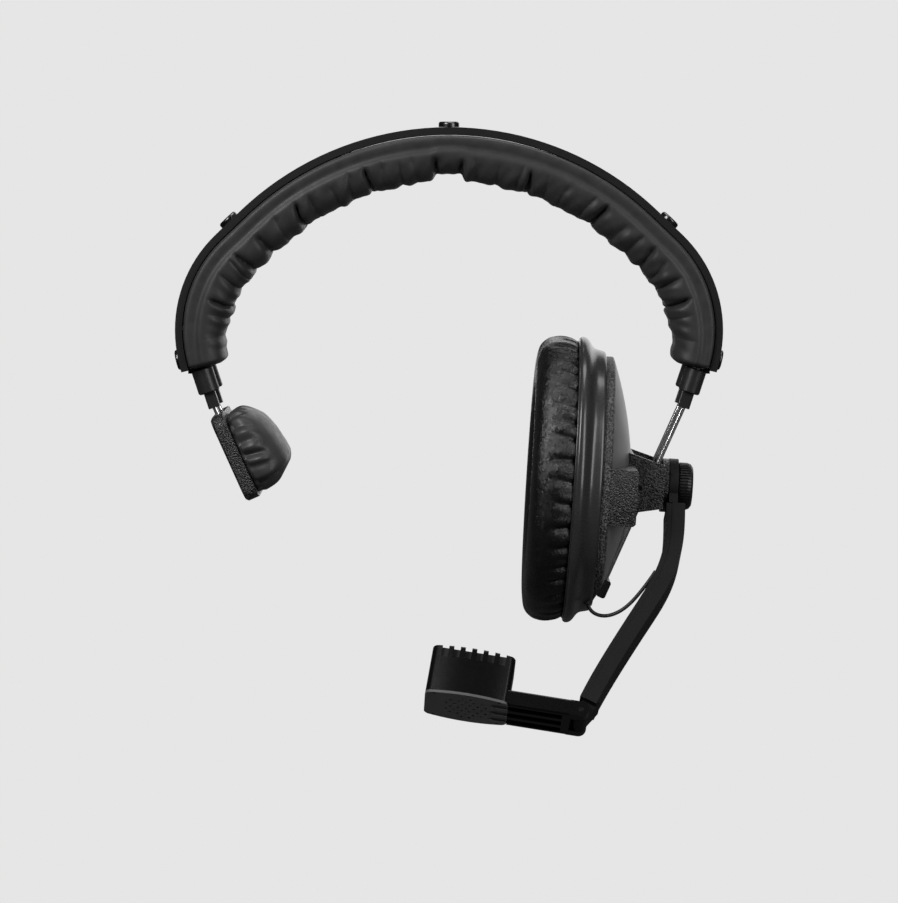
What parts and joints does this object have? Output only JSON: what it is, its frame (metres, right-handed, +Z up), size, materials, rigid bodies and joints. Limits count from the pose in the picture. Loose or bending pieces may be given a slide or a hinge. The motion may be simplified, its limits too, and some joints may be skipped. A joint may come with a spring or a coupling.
{
  "type": "headset microphone",
  "caption": "Single-ear headset: padded spring headband, temple pad, closed ear cup on sliding steel rods and a swivelling boom with a hinged close-talking microphone.",
  "frame": {"origin": "middle of the underside of the headband pad, where it rests on the crown of the head", "axes": "+X towards the ear cup, +Y towards the back of the head, +Z up"},
  "size_m": [0.208, 0.1085, 0.2251],
  "materials": {
    "band_plastic": "satin black moulded plastic",
    "leatherette": "dark grey leatherette, satin",
    "ear_leatherette": "glossy black fine-grained leatherette",
    "textured_plastic": "black plastic with a crinkle texture",
    "gloss_plastic": "glossy black plastic",
    "boom_plastic": "satin dark grey plastic",
    "mic_plastic": "glossy black plastic",
    "mic_plate": "dark painted perforated metal",
    "steel": "bright drawn steel wire",
    "spring_steel": "blued spring steel",
    "snap_chrome": "nickel-plated snaps",
    "screw_steel": "zinc-plated screws",
    "rubber": "black rubber",
    "foam": "open-cell foam",
    "acetal": "natural low-friction plastic",
    "brass": "turned brass",
    "magnet": "plated magnet",
    "diaphragm": "clear film diaphragm",
    "mesh": "fine woven wire screen"
  },
  "bodies": {
    "headband": {"band_shell": "band_plastic", "band_spring": "spring_steel", "band_cushion": "leatherette", "band_foam": "foam", "snap_caps": "snap_chrome", "snap_studs": "screw_steel", "rod_clamp_left": "band_plastic", "rod_clamp_right": "band_plastic", "clamp_screws": "screw_steel", "rods_left": "steel", "rods_right": "steel", "rod_end_block": "band_plastic"},
    "temple_pad": {"temple_plate": "textured_plastic", "temple_backing": "boom_plastic", "temple_spring_clip": "spring_steel", "temple_screws": "screw_steel", "temple_cushion": "leatherette", "temple_foam": "foam"},
    "rod_slider": {"rod_slider": "gloss_plastic", "slider_bushes": "acetal"},
    "ear_cup": {"cup_bracket": "textured_plastic", "cup_saddle": "textured_plastic", "pivot_pin": "steel", "cup_cover": "textured_plastic", "cup_rim": "gloss_plastic", "baffle": "band_plastic", "driver_grille": "mic_plate", "driver_basket": "band_plastic", "driver_magnet": "magnet", "driver_diaphragm": "diaphragm", "damping_foam": "foam", "ear_cushion": "ear_leatherette", "ear_foam": "foam", "cushion_ring": "band_plastic", "cover_screws": "screw_steel", "swivel_post": "screw_steel", "friction_washer": "rubber", "cable_socket": "screw_steel", "socket_contacts": "brass", "lead_grommet": "rubber", "mic_lead": "rubber"},
    "mic_boom": {"boom_head": "gloss_plastic", "boom_arm": "boom_plastic", "boom_cover": "boom_plastic", "boom_screws": "screw_steel", "elbow_pin": "steel"},
    "tension_knob": {"tension_knob": "band_plastic", "knob_insert": "brass"},
    "microphone": {"mic_body": "mic_plastic", "mic_comb": "mic_plastic", "mic_rear_plate": "mic_plate", "mic_mesh": "mesh", "mic_capsule": "magnet", "capsule_cradle": "rubber", "mic_screws": "screw_steel"}
  },
  "joints": [
    {"name": "temple_slide", "type": "slide", "parent": "headband", "child": "temple_pad", "axis": [0.4067, 0, -0.9135], "range_m": [0, 0.013]},
    {"name": "cup_slide", "type": "slide", "parent": "headband", "child": "rod_slider", "axis": [-0.4067, 0, -0.9135], "range_m": [0, 0.018]},
    {"name": "cup_tilt", "type": "hinge", "parent": "rod_slider", "child": "ear_cup", "pos_m": [0.0717, 0, -0.1184], "axis": [0, 1, 0], "range_deg": [0, 12]},
    {"name": "boom_swivel", "type": "hinge", "parent": "ear_cup", "child": "mic_boom", "pos_m": [0.08455, 0, -0.11871], "axis": [0.9981, 0, -0.061], "range_deg": [-15, 40], "deforming": ["mic_lead"]},
    {"name": "knob_turn", "type": "hinge", "parent": "ear_cup", "child": "tension_knob", "pos_m": [0.08954, 0, -0.11901], "axis": [0.9981, 0, -0.061], "range_deg": [-180, 180]},
    {"name": "mic_elbow", "type": "hinge", "parent": "mic_boom", "child": "microphone", "pos_m": [0.0477, -0.05742, -0.19861], "axis": [-0.035, 0.8192, -0.5725], "range_deg": [-25, 30]}
  ]
}
